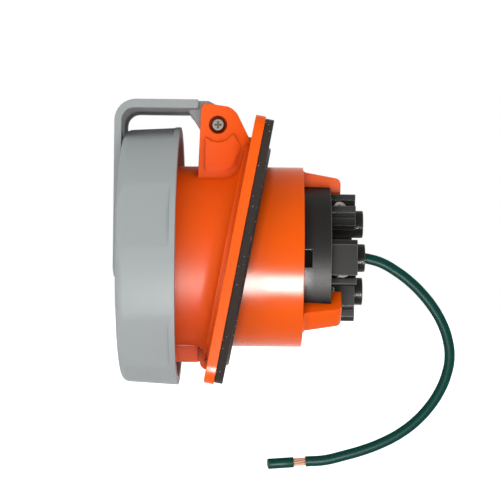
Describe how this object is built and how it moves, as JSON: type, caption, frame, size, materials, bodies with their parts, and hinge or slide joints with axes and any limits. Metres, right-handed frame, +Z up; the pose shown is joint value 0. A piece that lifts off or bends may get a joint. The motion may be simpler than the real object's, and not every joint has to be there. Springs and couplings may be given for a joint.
{
  "type": "pin and sleeve receptacle",
  "caption": "Angled panel receptacle with sleeve contacts in a round collar, a leaning square flange and gasket, a hinged arm with a turning bayonet cap, and a ground lead behind.",
  "frame": {"origin": "centre of the four mounting holes, on the plane where the gasket's back meets the panel", "axes": "X along the socket axis, with the cap towards -X and the terminals towards +X; +Z up, with the hinge on top"},
  "size_m": [0.1441, 0.1104, 0.155],
  "materials": {
    "orange_plastic": "satin moulded thermoplastic",
    "grey_plastic": "fine matt moulded thermoplastic",
    "black_plastic": "fine matt moulded thermoplastic",
    "gasket_rubber": "matt rubber",
    "screw_steel": "bright plated",
    "contact_brass": "turned",
    "green_insulation": "smooth extruded insulation",
    "bare_copper": "bright stranded copper"
  },
  "bodies": {
    "socket": {"housing": "orange_plastic", "flange_gasket": "gasket_rubber", "contact_insert": "black_plastic", "insert_oring": "gasket_rubber", "terminal_block": "black_plastic", "sleeve_top": "contact_brass", "sleeve_ground": "contact_brass", "sleeve_bottom": "contact_brass", "sleeve_far": "contact_brass", "spring_top": "screw_steel", "spring_ground": "screw_steel", "spring_bottom": "screw_steel", "spring_far": "screw_steel", "clamp_screw_top": "screw_steel", "clamp_screw_ground": "screw_steel", "clamp_screw_bottom": "screw_steel", "clamp_screw_far": "screw_steel", "insert_screws": "screw_steel", "hinge_screw": "screw_steel", "hinge_nut": "screw_steel", "ground_lead": "green_insulation", "lead_copper": "bare_copper", "lead_slug": "green_insulation"},
    "arm": {"cover_arm": "grey_plastic", "pivot_washer": "screw_steel", "pivot_screw": "screw_steel"},
    "cap": {"cover_cap": "grey_plastic", "cap_seal": "gasket_rubber"}
  },
  "joints": [
    {"name": "cover_hinge", "type": "hinge", "parent": "socket", "child": "arm", "pos_m": [-0.0133, 0, 0.0531], "axis": [0, 1, 0], "range_deg": [0, 110]},
    {"name": "cap_turn", "type": "hinge", "parent": "arm", "child": "cap", "pos_m": [-0.0533, 0, -0.002], "axis": [1, 0, 0], "range_deg": [0, 36]}
  ]
}
